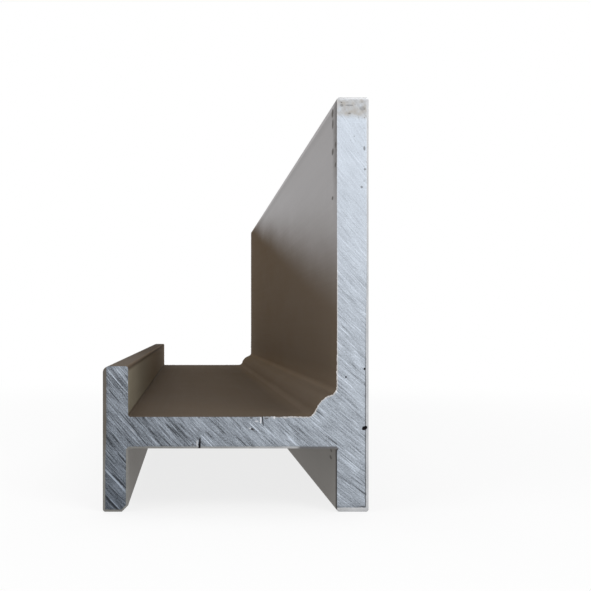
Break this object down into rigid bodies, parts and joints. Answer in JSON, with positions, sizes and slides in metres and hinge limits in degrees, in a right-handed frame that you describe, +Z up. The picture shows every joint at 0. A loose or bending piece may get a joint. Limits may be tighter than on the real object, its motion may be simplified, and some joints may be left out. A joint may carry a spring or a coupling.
{
  "type": "aluminium extrusion profile",
  "caption": "Aluminium extrusion of h-shaped section: tall flange, web with a beaded corner, and a lip with a foot that forms an open channel; sawn square at both ends.",
  "frame": {"origin": "centre of the footprint, at the level of the two feet", "axes": "+Y along the bar, +X from the lip towards the back of the tall flange, +Z up the flange"},
  "size_m": [0.042, 0.2, 0.0655],
  "materials": {
    "mill_aluminium": "mill finish with fine die lines, brownish film in the channel, bare sawn ends"
  },
  "bodies": {
    "root": {"profile": "mill_aluminium"}
  },
  "joints": []
}
